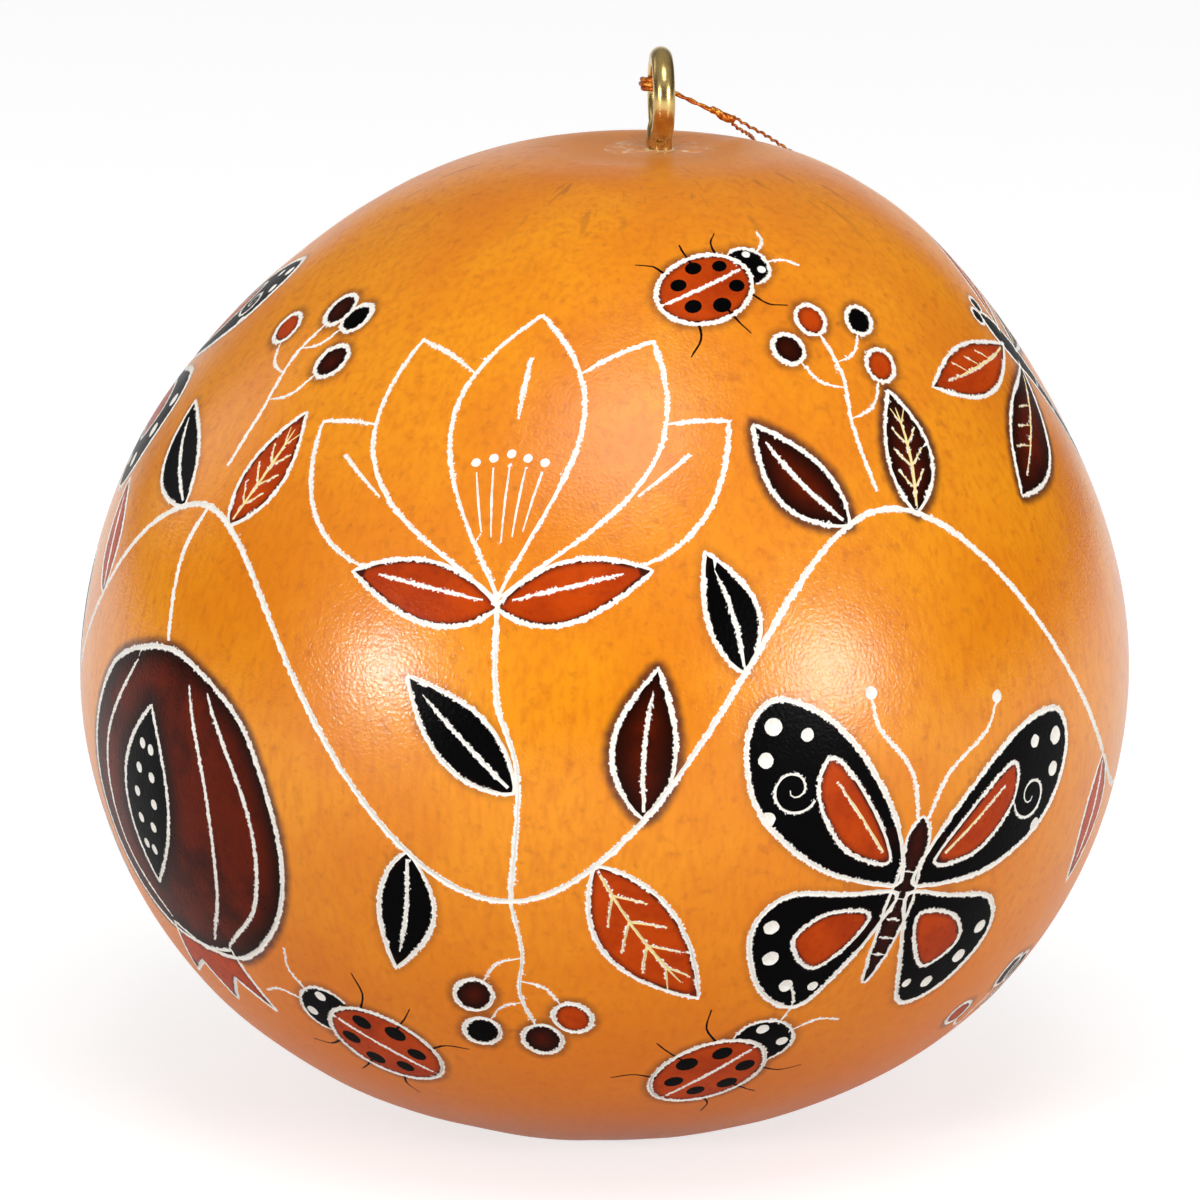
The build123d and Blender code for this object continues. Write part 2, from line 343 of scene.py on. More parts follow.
def rosette(where, radius):
    """A sunburst of lance petals round a dotted disc."""
    for i in range(12):
        ray = within(where, 0, 0, 30 * i)
        petal = leaf_line(radius * 0.66, radius * 0.34, fullness=1.15) + [0, radius * 0.36]
        cut(ray, petal, closed=True)
        straight(ray, (0, radius * 0.5), (0, radius * 0.72), 0.36, ends=(0.4, 0.8))
    cut(where, oval(0, 0, radius * 0.6, radius * 0.6), closed=True)
    shape(where, oval(0, 0, radius * 0.26, radius * 0.26), BROWN, 0.36)
    for i in range(9):
        turn = 2 * pi * i / 9
        dot(where, radius * 0.215 * cos(turn), radius * 0.215 * sin(turn), 0.32)


def pomegranate(where, radius, tint=BROWN):
    """A burnt fruit with a toothed crown and a split that shows its seeds."""
    crown = [(-0.34, 0.9), (-0.52, 1.42), (-0.2, 1.2), (0, 1.5)]
    crown += [(0.2, 1.2), (0.52, 1.42), (0.34, 0.9), (0, 1.0)]
    shape(where, evenly(np.array(crown) * radius, True), RUSSET)
    body = [(0, 0.98), (0.5, 0.9), (0.92, 0.45), (1.0, -0.1), (0.72, -0.7), (0.2, -0.97), (-0.2, -0.97)]
    body += [(-0.72, -0.7), (-1.0, -0.1), (-0.92, 0.45), (-0.5, 0.9)]
    shape(where, smooth(np.array(body) * radius, True), tint, 0.46)
    for x in (-0.76, -0.42, 0.74):
        rib = [(x * 0.45, 0.86), (x * 0.98, 0.4), (x * 1.02, -0.2), (x * 0.5, -0.84)]
        cut(where, smooth(np.array(rib) * radius), 0.34, ends=(0.4, 0.3))
    split = within(where, 0.14 * radius, -0.62 * radius, -8)
    shape(split, leaf_line(radius * 1.2, radius * 0.52, fullness=1.0), BLACK)
    for i in range(5):
        for side in (-1, 1):
            dot(split, side * 0.1 * radius * (1 - abs(i - 2) * 0.26), radius * (0.26 + 0.17 * i), 0.42)


def butterfly(where):
    """A black butterfly with dots along its wing tips, scrolls and russet cells."""
    fore = [(0.5, 0.8), (2.6, 5.4), (7.2, 10.4), (11.8, 12.0)]
    fore += [(13.6, 9.4), (12.2, 4.8), (7.6, 1.4), (2.4, 0.2)]
    hind = [(0.6, -0.4), (4.4, -0.6), (8.8, -1.0), (10.6, -4.0)]
    hind += [(8.6, -8.6), (5.0, -10.2), (2.6, -6.4), (1.0, -2.6)]
    cell = [(1.9, 1.9), (4.6, 6.0), (7.6, 8.6), (8.2, 6.0), (5.6, 2.6)]
    eye = [(2.2, -2.0), (5.6, -2.2), (7.4, -4.4), (5.2, -6.6), (3.0, -4.6)]
    for side in (-1, 1):
        wing = within(where, 0, 0, flip=side)
        shape(wing, smooth(fore, True), BLACK, 0.46)
        shape(wing, smooth(hind, True), BLACK, 0.46)
        shape(wing, smooth(cell, True), RUSSET, 0.32, 0.0)
        shape(wing, smooth(eye, True), RUSSET, 0.32, 0.0)
        cut(wing, smooth([(2.6, 2.5), (5.0, 5.0), (7.0, 7.0)]), needle, CREAM, (1, 0.3))
        cut(wing, curl(10.0, 6.3, 1.7, 1.4, 200), 0.26, ends=(1, 0.5))
        dots = [(12.0, 10.2, 0.6), (12.2, 8.0, 0.52), (11.4, 4.2, 0.5), (9.6, 9.9, 0.45)]
        dots += [(9.3, -3.4, 0.55), (8.6, -5.9, 0.6), (6.6, -8.2, 0.55), (4.4, -8.2, 0.42)]
        for x, y, r in dots:
            dot(wing, x, y, r)
        cut(wing, smooth([(0.3, 4.6), (1.6, 8.0), (4.4, 10.6), (5.2, 12.4)]), 0.32, ends=(1, 0.6))
        dot(wing, 5.3, 12.9, 0.45)
    body = [(0, 5.0), (0.95, 3.6), (0.8, 1.2), (1.05, -1.4), (0.7, -5.6), (0, -8.0)]
    body += [(-x, y) for x, y in body[-2:0:-1]]
    shape(where, smooth(body, True), BROWN, 0.34, 0.0)
    for y in (1.2, -0.8, -2.4, -3.9, -5.3):
        straight(where, (-0.6, y), (0.6, y - 0.1), 0.24)


def ladybird(where):
    """A spotted ladybird on six short legs."""
    for side in (-1, 1):
        for y, out, drop in ((2.2, 1.7, 1.4), (0.2, 2.0, 0.2), (-1.8, 1.6, -1.5)):
            bend = (side * (2.2 + out * 0.6), y + drop * 0.3)
            leg = smooth([(side * 2.0, y), bend, (side * (2.3 + out), y + drop)])
            cut(where, leg, 0.3, BLACK, (1, 0.5))
        cut(where, smooth([(side * 0.5, 4.9), (side * 1.1, 6.2), (side * 2.2, 6.8)]), needle, ends=(1, 0.5))
    head, back = oval(0, 3.6, 3.4, 3.0), oval(0, 0, 5.4, 6.6)
    dyes.append((where(head), BLACK, False))
    for run in seen_runs(head, [back])[0]:
        cut(where, run, 0.36, burn=0.5, rim=True)
    shape(where, back, RUSSET, 0.4, 0.6)
    straight(where, (0, 2.9), (0, -2.9), 0.32)
    for side in (-1, 1):
        for x, y, r in ((1.0, 1.8, 0.5), (1.75, 0.1, 0.55), (0.95, -1.5, 0.5)):
            patch(where, oval(side * x, y, r * 2, r * 2.2), BLACK)
        dot(where, side * 0.85, 4.2, 0.32)


def dragonfly(where):
    """A dragonfly with a ringed black body and four veined wings."""
    for side in (-1, 1):
        for y, tilt, length, width, tint in ((2.6, 68, 11.5, 3.4, RUSSET), (0.8, 100, 10.5, 3.8, BROWN)):
            wing = within(where, side * 0.7, y, -side * tilt)
            shape(wing, leaf_line(length, width, fullness=1.25), tint)
            straight(wing, (0, length * 0.1), (0, length * 0.86), needle, CREAM, (1, 0.3))
            for t in (0.35, 0.5, 0.65):
                straight(wing, (0, length * t), (width * 0.3, length * (t + 0.1)), 0.24, CREAM)
    body = [(0, 5.0), (1.0, 3.6), (1.1, 1.2), (0.6, -2.0), (0.55, -9.0), (0, -11.4)]
    body += [(-x, y) for x, y in body[-2:0:-1]]
    shape(where, smooth(body, True), BLACK, 0.36)
    for y in (-1.4, -3.4, -5.4, -7.4, -9.2):
        straight(where, (-0.42, y), (0.42, y), 0.26)
    for side in (-1, 1):
        shape(where, oval(side * 0.75, 5.3, 1.3, 1.4), BLACK, needle)


# The layout: one vine winds round the belly in four waves, with a motif in each bay above and below it.
seam = 192.0
waves, wave_height, vine_level, first_trough = 4, 13.5, up_at(40.5), -10.0


def vine_at(turn):
    """Place of the vine on the flat drawing at some degrees round from the front."""
    angle = waves * radians(turn - first_trough)
    return radians(turn) * belly, vine_level - wave_height * cos(angle) + 1.2 * sin(2.3 * radians(turn))


def stalk(turn, *places):
    """A stalk that leaves the vine and passes through places, each in degrees round and in height."""
    route = [vine_at(turn)] + [(radians(along) * belly, float(up_at(height))) for along, height in places]
    cut(drawing, smooth(route), 0.5, ends=(1, 0.8))


drawing = spot_on(0, 0)
vine_ends = seam - 353, seam - 6.4
vine = [vine_at(turn) for turn in np.arange(vine_ends[0], seam - 6, 0.6)]
cut(drawing, evenly(vine), broad_gouge, ends=(0.4, 0.4))
first_end, last_end = (spot_on(*vine_at(turn)) for turn in vine_ends)
cut(last_end, curl(-1.3, 2.25, 2.6, 1.2, -60), ends=(1, 0.5))
cut(within(first_end, 0, 0, flip=-1), curl(1.6, 2.1, 2.6, 1.2, -127), ends=(1, 0.5))
wave_leaves = (
    (-40, 76, 10.5, RUSSET, 4),
    (-11, 258, 10.5, BLACK, 0),
    (9, 304, 14.5, RUSSET, 4),
    (14, 84, 11.0, BROWN, 0),
    (25, 104, 9.5, BLACK, 0),
    (40, 126, 11.0, BROWN, 0),
)
for wave in range(-1, 3):
    for i, (offset, heading, length, tint, veins) in enumerate(wave_leaves):
        turn = first_trough + 90 * wave + offset
        if seam - 344 < turn < seam - 22:
            tint = tint if wave % 2 == 0 else (RUSSET, BROWN, BLACK)[(tint - RUSSET + 1) % 3]
            place = spot_on(*vine_at(turn), heading - 90 + 6 * (wave % 3))
            leaf(place, length, length * 0.42, tint, veins, CREAM if veins else WHITE, bow=0.5 * (-1) ** i)

# Front: a blossom on its stem over the trough of the vine, a pomegranate to the left and a butterfly right.
stalk(-10, (-9, 36), (-11.5, 42), (-12, 49))
blossom(spot(-12, 48.5, 3), 27)
leaf(spot(-9.4, 35, 46), 11.5, 4.4, BLACK)
stalk(-55, (-56.5, 48), (-55, 42))
pomegranate(spot(-55, 29, 176), 12.5)
butterfly(spot(34, 26, -10, 1.1))
sprig(spot(-10, 26.6, 180), 12, (BROWN, RUSSET, BLACK), -1)
ladybird(spot(-30, 12.5, 50, 1.4))
ladybird(spot(14, 11, -42, 1.4))
sprig(spot(35, 54.5, -2), 15, (RUSSET, BROWN, BLACK), -1)
sprig(spot(-55, 54.5, 4), 14, (BROWN, RUSSET, BLACK), 1)
ladybird(spot(15, 68.3, -64, 1.15))

# Right side, back and left side.
dragonfly(spot(84, 58.5, 24, 1.35))
sprig(spot(64, 7, 10), 8, (BROWN, RUSSET, BLACK))
ladybird(spot(90, 14, 30, 1.3))
stalk(125, (126, 48), (125, 42))
pomegranate(spot(125, 29, 184), 12, RUSSET)
ladybird(spot(122, 64, 70, 1.15))
stalk(168, (166, 36), (167, 42), (167, 47))
rosette(spot(167, 56), 11)
fern(spot(166, 27, 184), 15, BLACK, 4, -1.6)
butterfly(spot(-100, 57, 14, 1.0))
blossom(spot(-140, 17, -5), 18)
sprig(spot(-112, 7, 2), 8.5, (RUSSET, BLACK, BROWN), -1)
ladybird(spot(-88, 14, 24, 1.3))
sprig(spot(-146, 55, 10), 13, (RUSSET, BLACK, BROWN))


# The worked skin is one net of faces: it follows both edges and the bottom of every cut, the edge of every
# pit, and between them a loose net that is fine enough for the round of the gourd.
net_spacing, net_top, net_bottom, ring_count = 1.15, up_at(73.9), up_at(1.6), 132
row_share, jitter, weld = 0.87, 0.12, 0.01
rim_offsets, shallow_end, pit_share = (-1.3, -0.7, 0.75, 1.4), 2, 0.35
dent_size, dent_depth, dents_end = 13, 0.12, 60
left_edge, right_edge = radians(seam - 360) * belly, radians(seam) * belly
net_points, net_edges = [], []


def add_line(line, closed=True):
    """Add a line to the net, with an edge from each point to the next."""
    first, count = len(net_points), len(line)
    net_points.extend((float(x), float(y)) for x, y in line)
    net_edges.extend((first + i, first + (i + 1) % count) for i in range(count if closed else count - 1))


def tree_of(points):
    """Points of the drawing, set up for finding the nearest."""
    tree = KDTree(len(points))
    for i, (x, y) in enumerate(points):
        tree.insert((x, y, 0), i)
    tree.balance()
    return tree


for line in cuts:
    if line.closed:
        way = np.roll(line.centre, -1, axis=0) - np.roll(line.centre, 1, axis=0)
    else:
        way = np.gradient(line.centre, axis=0)
    way /= np.linalg.norm(way, axis=1)[:, None]
    line.beside = np.stack([-way[:, 1], way[:, 0]], -1)
    line.edges = [line.centre + line.beside * room[:, None] for room in (line.left, -line.right)]
    for edge in [line.centre] + line.edges:
        add_line(edge, line.closed)
for line, tint, hard in dyes:
    if hard:
        add_line(line)
net_points += [(float(x), float(y)) for (x, y), radius in pits]
taken = tree_of(net_points)


def free(x, y, room):
    """Whether a place of the drawing is clear of what is drawn."""
    return taken.find((x, y, 0))[2] > room


extra = []
for line in cuts:
    stretch = belly / radius_at(line.centre[:, 1])
    for offset in rim_offsets if line.rim else ():
        near = line.centre + line.beside * (offset * stretch)[:, None]
        extra += [(x, y) for x, y in near[::2] if left_edge + 1 < x < right_edge - 1 and free(x, y, 0.4)]
up, levels = net_bottom, [net_bottom]
while up < net_top:
    up += net_spacing * belly / radius_at(up) * row_share
    levels.append(up)
levels = net_bottom + (np.array(levels) - net_bottom) * (net_top - net_bottom) / (levels[-1] - net_bottom)
for row, up in enumerate(levels[1:-1]):
    spacing = net_spacing * belly / radius_at(up)
    count = int((right_edge - left_edge) / spacing)
    for across in left_edge + (np.arange(1, count) + 0.5 * (row % 2)) * (right_edge - left_edge) / count:
        x = across + hand.uniform(-jitter, jitter) * spacing
        y = up + hand.uniform(-jitter, jitter) * spacing
        if left_edge + 0.4 * spacing < x < right_edge - 0.4 * spacing and free(x, y, 0.5 * spacing):
            extra.append((x, y))
net_points += [(float(x), float(y)) for x, y in extra]
corners = np.linspace(left_edge, right_edge, ring_count + 1)
border = [(x, net_bottom) for x in corners[:-1]] + [(right_edge, y) for y in levels[:-1]]
add_line(border + [(x, net_top) for x in corners[:0:-1]] + [(left_edge, y) for y in levels[:0:-1]])

net = delaunay_2d_cdt([Vector(p) for p in net_points], net_edges, [], 0, weld, False)
flat_points, flat_faces = (np.array([tuple(item) for item in net[k]]) for k in (0, 2))
corner_a, corner_b, corner_c = (flat_points[flat_faces[:, i]] for i in range(3))
turned = np.cross(corner_b - corner_a, corner_c - corner_a) < 0
flat_faces[turned] = flat_faces[turned][:, ::-1]
middles = (corner_a + corner_b + corner_c) / 3

# What each face is, from the drawing: dyes first, in the order they were laid, then the cuts over them.
# A cut is deepest along its middle, and runs out at its ends.
face_kind, sunk = np.zeros(len(flat_faces), int), np.zeros(len(flat_points))
for line, tint, hard in dyes:
    near = np.flatnonzero(((middles > line.min(0)) & (middles < line.max(0))).all(1))
    face_kind[near[inside(middles[near], line)]] = tint
middle_tree, point_tree = tree_of(middles), tree_of(flat_points)
for line in cuts:
    count = len(line.centre)
    for i in range(count if line.closed else count - 1):
        j = (i + 1) % count
        a, step = line.centre[i], line.centre[j] - line.centre[i]
        length = sqrt(step @ step) or 1e-6
        reach = max(line.left[i], line.right[i], line.left[j], line.right[j]) + length / 2
        for tree, places, is_face in ((middle_tree, middles, True), (point_tree, flat_points, False)):
            for _, k, _ in tree.find_range((*(a + step / 2), 0), reach):
                offset = places[k] - a
                t = (offset @ step) / length**2
                aside = (step[0] * offset[1] - step[1] * offset[0]) / length
                share = min(1, max(0, t))
                side = line.left if aside > 0 else line.right
                room = side[i] + (side[j] - side[i]) * share
                if abs(t - 0.5) > 0.75 or abs(aside) >= room * (1.02 if is_face else 1):
                    continue
                if is_face:
                    face_kind[k] = line.tint
                else:
                    from_end = shallow_end if line.closed else min(i + share, count - 1 - i - share)
                    depth = line.depth * min(1, from_end / shallow_end)
                    sunk[k] = max(sunk[k], depth * (1 - abs(aside) / room))
for place, radius in pits:
    _, k, _ = point_tree.find((*place, 0))
    sunk[k] = max(sunk[k], pit_share * radius)

# Each point's traits: how near it is to the rim of a dyed area, how much that rim was scorched, and how near
# it is to a pale cut.
far_rim, far_cut = 6.0, 4.0
untouched = (far_rim, 0.0, far_cut)
rims = [line for line in cuts if line.rim]
rim_tree = tree_of(np.vstack([line.centre for line in rims]))
rim_burn = np.repeat([line.burn for line in rims], [len(line.centre) for line in rims])
pale_tree = tree_of(np.vstack([edge for line in cuts if line.tint in (WHITE, CREAM) for edge in line.edges]))
traits = []
for x, y in flat_points:
    shrink = radius_at(y) / belly
    _, i, gap = rim_tree.find((x, y, 0))
    pale_gap = pale_tree.find((x, y, 0))[2]
    traits.append((min(far_rim, gap * shrink), rim_burn[i], min(far_cut, pale_gap * shrink)))

# The net is wrapped, closed at the back, and carried on in rings over the crown, down the stem hole, round
# the inside and over the flat below, so that the rind is one closed body.
dents = np.array([noise.noise((x / dent_size, y / dent_size, 3.0)) for x, y in flat_points])
depths = sunk - dent_depth * dents * (abs(flat_points[:, 1]) < dents_end)


def net_edge(axis, place):
    """Points along one of the four edges of the net, in order."""
    found = np.flatnonzero(abs(flat_points[:, axis] - place) < 1e-3)
    return found[np.argsort(flat_points[found, 1 - axis])]


on_left, on_right = net_edge(0, left_edge), net_edge(0, right_edge)
joined = np.arange(len(flat_points))
joined[on_right] = on_left
depths[on_left] = 0
points = on_rind(*flat_points.T, depths).tolist()
faces, kinds = joined[flat_faces].tolist(), face_kind.tolist()


def skinned(rings):
    """Faces that join each ring of points to the next; a ring of one repeated point closes an end."""
    faces = []
    for before, after in zip(rings, rings[1:]):
        for k in range(len(before)):
            n = (k + 1) % len(before)
            faces.append(tuple(dict.fromkeys((before[k], before[n], after[n], after[k]))))
    return faces


def next_ring(before, centre_x, radius, height, kind, upward=True, scar=0.0):
    """Join a ring of points, or a single closing point, to the ring before it."""
    first, sides = len(points), len(before)
    for turn in corners[:-1] / belly if radius else (0.0,):
        r = radius * (1 + (scar_edge(turn) - 1) * scar)
        points.append(((centre_x + r * sin(turn)) * mm, -r * cos(turn) * mm, height * mm))
    ring = list(range(first, len(points))) if radius else [first] * sides
    faces.extend(skinned([before, ring] if upward else [ring, before]))
    kinds.extend([kind] * sides)
    traits.extend([untouched] * (len(points) - first))
    return ring


ring = joined[net_edge(1, net_top)[:-1]].tolist()
for k in np.flatnonzero(drawing_up > net_top)[6::14]:
    radius, height = outline[k]
    ring = next_ring(ring, lean_at(height), radius, height, SKIN)
for share in (0.0, 0.35, 0.7, 1.0):
    radius = crown_radius + (stem_hole - crown_radius) * share
    centre_x = crown_lean + (stem_x - crown_lean) * share
    ring = next_ring(ring, centre_x, radius, crown_height, SKIN, True, share)
for depth in (1.0, rind):
    ring = next_ring(ring, stem_x, stem_hole - depth * sin(stem_taper), crown_height - depth, INSIDE)
inner = (outline - outward * rind)[::-1]
for k in range(0, len(inner), 14):
    radius, height = inner[k]
    if radius > stem_hole + 1.5 or k > len(inner) / 2:
        ring = next_ring(ring, lean_at(outline[-1 - k, 1]), radius, height, INSIDE)
ring = next_ring(ring, 0, 0, inner[-1][1], INSIDE)
ring = joined[net_edge(1, net_bottom)[:-1]].tolist()
underside = [outline[k] for k in np.flatnonzero(drawing_up < net_bottom)[-8::-12]]
underside += [(6.0, 0), (blossom_scar, 0), (blossom_scar - scar_depth, scar_depth), (0, scar_depth)]
for radius, height in underside:
    ring = next_ring(ring, 0, radius, height, SKIN, False)

rind_mesh = bpy.data.meshes.new("carved_rind")
rind_mesh.from_pydata(points, [], faces)
rind_mesh.polygons.foreach_set("material_index", np.array(kinds, np.int32))
rind_mesh.polygons.foreach_set("use_smooth", np.ones(len(faces), bool))


def keep(name, kind, domain, values):
    """Keep values on the rind's points, edges or face corners."""
    rind_mesh.attributes.new(name, kind, domain).data.foreach_set("value", values)


def read(items, name, per_item=1):
    """Whole numbers of the rind's edges or face corners."""
    values = np.zeros(len(items) * per_item, np.int32)
    items.foreach_get(name, values)
    return values


near_rim, scorch, near_cut = np.array(traits, np.float32).T.copy()
keep("near_rim", "FLOAT", "POINT", near_rim)
keep("scorch", "FLOAT", "POINT", scorch)
corner_edge, corner_point = (read(rind_mesh.loops, name) for name in ("edge_index", "vertex_index"))
corner_face = np.repeat(np.arange(len(faces)), [len(face) for face in faces])
corner_kind = np.array(kinds)[corner_face]
lowest, highest = np.full(len(rind_mesh.edges), 99), np.full(len(rind_mesh.edges), -1)
np.minimum.at(lowest, corner_edge, corner_kind)
np.maximum.at(highest, corner_edge, corner_kind)
line_kinds = np.isin(lowest, (WHITE, CREAM)) | np.isin(highest, (WHITE, CREAM, INSIDE))
at_cut = (lowest != highest) & line_kinds
keep("sharp_edge", "BOOLEAN", "EDGE", at_cut)

# The distance to the nearest cut is kept on the corners of the faces. A face that bridges two cuts counts
# as far from both, so that a narrow gap between them keeps its colour.
edge_ends = read(rind_mesh.edges, "vertices", 2).reshape(-1, 2)
bridging = (near_cut[edge_ends].max(1) < 0.02) & ~at_cut
bridged = np.zeros(len(faces), bool)
np.logical_or.at(bridged, corner_face, bridging[corner_edge])
corner_near = np.where(bridged[corner_face], np.float32(far_cut), near_cut[corner_point])
keep("near_cut", "FLOAT", "CORNER", corner_near)
rind_mesh.validate()


def put(name, data):
    """Put a mesh, a lamp or a camera in the scene."""
    made = bpy.data.objects.new(name, data)
    bpy.context.scene.collection.objects.link(made)
    return made


carved_rind = put("carved_rind", rind_mesh)


class Wire:
    """A socket of a finish. Sums on it add Math nodes."""

    def __init__(self, finish, socket):
        self.finish, self.socket = finish, socket

    def sum(self, operation, *values):
        return self.finish.node("ShaderNodeMath", {"operation": operation}, dict(enumerate(values)))

    def __add__(self, other):
        return self.sum("ADD", self, other)

    def __sub__(self, other):
        return self.sum("SUBTRACT", self, other)

    def __rsub__(self, other):
        return self.sum("SUBTRACT", other, self)

    def __mul__(self, other):
        return self.sum("MULTIPLY", self, other)

    def __truediv__(self, other):
        return self.sum("DIVIDE", self, other)

    __radd__, __rmul__ = __add__, __mul__

    def rise(self, start, end):
        """0 below start, 1 above end, and smooth between."""
        values = {"Value": self, "From Min": start, "From Max": end}
        return self.finish.node("ShaderNodeMapRange", {"interpolation_type": "SMOOTHSTEP"}, values)


class Finish:
    """A material, or the studio's own light: nodes round one shader that has its even values set on it."""

    def __init__(self, name, kept_in=bpy.data.materials, shader="Principled BSDF", **even):
        self.made = kept_in.new(name)
        self.made.use_nodes = True
        self.tree = self.made.node_tree
        self.shader = self.tree.nodes[shader]
        for socket, value in even.items():
            self.shader.inputs[socket.replace("_", " ")].default_value = value

    def node(self, kind, settings=None, values=None, output=0):
        """Add a node: its settings first, then the values or links of its sockets."""
        made = self.tree.nodes.new(kind)
        for key, value in (settings or {}).items():
            setattr(made, key, value)
        for key, value in (values or {}).items():
            self.feed(made.inputs[key], value)
        return Wire(self, made.outputs[output])

    def feed(self, socket, value):
        if isinstance(value, Wire):
            self.tree.links.new(value.socket, socket)
        elif socket.type == "RGBA" and len(value) == 3:
            socket.default_value = (*value, 1)
        else:
            socket.default_value = value

    def place(self, kind="Object"):
        return self.node("ShaderNodeTexCoord", output=kind)

    def grain(self, size, detail, roughness, place=None, distortion=0.0):
        """Noise with features of a size in millimetres, from 0 to 1."""
        values = {"Vector": place or self.place(), "Scale": 1 / (size * mm), "Detail": detail}
        values.update({"Roughness": roughness, "Distortion": distortion})
        return self.node("ShaderNodeTexNoise", None, values)

    def mix(self, share, a, b):
        return self.node("ShaderNodeMix", {"data_type": "RGBA"}, {0: share, 6: a, 7: b}, 2)

    def seen(self):
        """1 for what the camera sees, also in a mirror or through glass, and 0 for other light."""
        rays = ("Camera", "Glossy", "Transmission")
        plain, mirror, glass = (self.node("ShaderNodeLightPath", output=f"Is {ray} Ray") for ray in rays)
        return plain + mirror + glass

    def axes(self, place):
        """How far east, north and up a place is."""
        split = self.node("ShaderNodeSeparateXYZ", None, {0: place}).socket.node
        return [Wire(self, output) for output in split.outputs]

    def fan(self, aside, north, around, outward, up=0.0):
        """Distance from an upright line, and noise drawn out in rays from it."""
        spread = self.node("ShaderNodeMath", {"operation": "SQRT"}, {0: aside * aside + north * north})
        angle = self.node("ShaderNodeMath", {"operation": "ARCTAN2"}, {0: north, 1: aside})
        rays = self.node("ShaderNodeCombineXYZ", None, {0: angle * around, 1: spread * outward, 2: up})
        return spread, self.node("ShaderNodeTexNoise", None, {"Vector": rays, "Scale": 1.0, "Detail": 4.0})

    def field(self, name):
        return self.node("ShaderNodeAttribute", {"attribute_name": name}, None, 2)

    def bump(self, height, depth, strength=1.0):
        """Relief of a depth in millimetres where the height runs from 0 to 1."""
        values = {"Height": height, "Distance": depth * mm, "Strength": strength}
        return self.node("ShaderNodeBump", None, values)

    def crumble(self, colour, place):
        """Let the pale rind show in fine chips along the edge of a cut."""
        contrast, fade = 2.2, 4.2
        chips = self.grain(0.2, 2, 0.6, place) * contrast - self.field("near_cut") * fade
        return self.mix(chips.rise(0.75, 1.0), colour, bare_rind)

    def dull(self, share, colour):
        """Let a matt surface of the same colour take over by a share."""
        flat = {"Base Color": colour, "Roughness": 1.0, "Specular IOR Level": 0.0}
        matt = self.node("ShaderNodeBsdfPrincipled", None, flat)
        glossy = Wire(self, self.shader.outputs[0])
        blend = self.node("ShaderNodeMixShader", None, {0: share, 1: glossy, 2: matt})
        self.feed(self.tree.nodes["Material Output"].inputs["Surface"], blend)

    def unwaxed(self, height):
        """How far the wax is rubbed off near the foot and over the crown."""
        return (1 - height.rise(6 * mm, 46 * mm)) * 0.64 + height.rise(50 * mm, 70 * mm) * 0.36

    def wear(self, **changing):
        for socket, value in changing.items():
            self.feed(self.shader.inputs[socket.replace("_", " ")], value)
        return self.made


def tone(r, g, b):
    """A colour written as it looks, from 0 to 255, in the light values that the shader takes."""
    return tuple(((c / 255 + 0.055) / 1.055) ** 2.4 if c > 10 else c / 255 / 12.92 for c in (r, g, b))


bare_rind, crown_tan = tone(252, 249, 242), tone(224, 139, 62)


def skin_finish():
    """Waxed amber skin: cloudy and finely streaked, paler at the crown, darker and redder towards the foot
    (partly painted shade), scorched round the burnt areas.
    """
    f = Finish("waxed_skin", Specular_IOR_Level=0.38, Coat_Roughness=0.38)
    place = f.place()
    upright = f.node("ShaderNodeVectorMath", {"operation": "MULTIPLY"}, {0: place, 1: (1.0, 1.0, 0.3)})
    clouds = f.grain(14, 4, 0.6, place).rise(0.34, 0.68)
    streaks = f.grain(0.55, 3, 0.55, upright).rise(0.4, 0.72)
    freckles = f.grain(0.8, 3, 0.5, place)
    colour = f.mix(clouds, tone(243, 150, 6), tone(231, 130, 2))
    colour = f.mix(streaks * 0.5, colour, tone(218, 116, 4))
    colour = f.mix(freckles.rise(0.54, 0.76) * 0.4, colour, tone(192, 96, 10))
    east, north, height = f.axes(place)
    spread, cracks = f.fan(east - crown_lean * mm, north, 14.0, 220.0, height * 20.0)
    crown = 1 - (spread + clouds * (4 * mm)).rise(5 * mm, 14 * mm)
    crown = crown * height.rise(56 * mm, 68 * mm)
    colour = f.mix(crown * 0.9, colour, crown_tan)
    near_crown = (1 - spread.rise(9 * mm, 26 * mm)) * height.rise(56 * mm, 68 * mm)
    colour = f.mix(near_crown * cracks.rise(0.61, 0.72) * 0.5, colour, tone(140, 72, 28))
    # Towards the foot the skin is painted darker and redder: partly a deeper tone of the skin, partly
    # painted shade of the lower body.
    deeper_foot_and_shade = 1 - height.rise(2 * mm, 38 * mm)
    colour = f.mix(deeper_foot_and_shade * 0.7, colour, tone(226, 112, 3))
    scorch = (1 - f.field("near_rim").rise(0.15, 1.3)) * f.field("scorch") * (0.65 + freckles * 0.7)
    colour = f.crumble(f.mix(scorch.rise(0.05, 1.0) * 0.9, colour, tone(74, 26, 8)), place)
    f.dull(f.unwaxed(height), colour)
    peel = f.grain(0.25, 2, 0.4, place, 0.3)
    roughness = 0.2 + clouds * 0.02 + crown * 0.25 + freckles * 0.03
    wax = height.rise(16 * mm, 38 * mm) * (1 - crown) * 0.32
    return f.wear(Base_Color=colour, Roughness=roughness, Coat_Weight=wax, Normal=f.bump(peel, 0.036))


def line_finish(name, colour, dirt):
    """Raw rind laid bare by the gouge: pale, dry and crumbly."""
    f = Finish(name, Specular_IOR_Level=0.15)
    crumbs = f.grain(0.24, 3, 0.65)
    tint = f.mix(crumbs.rise(0.42, 0.72) * 0.4, colour, dirt)
    return f.wear(Base_Color=tint, Roughness=0.78 + crumbs * 0.2, Normal=f.bump(crumbs, 0.12, 0.7))


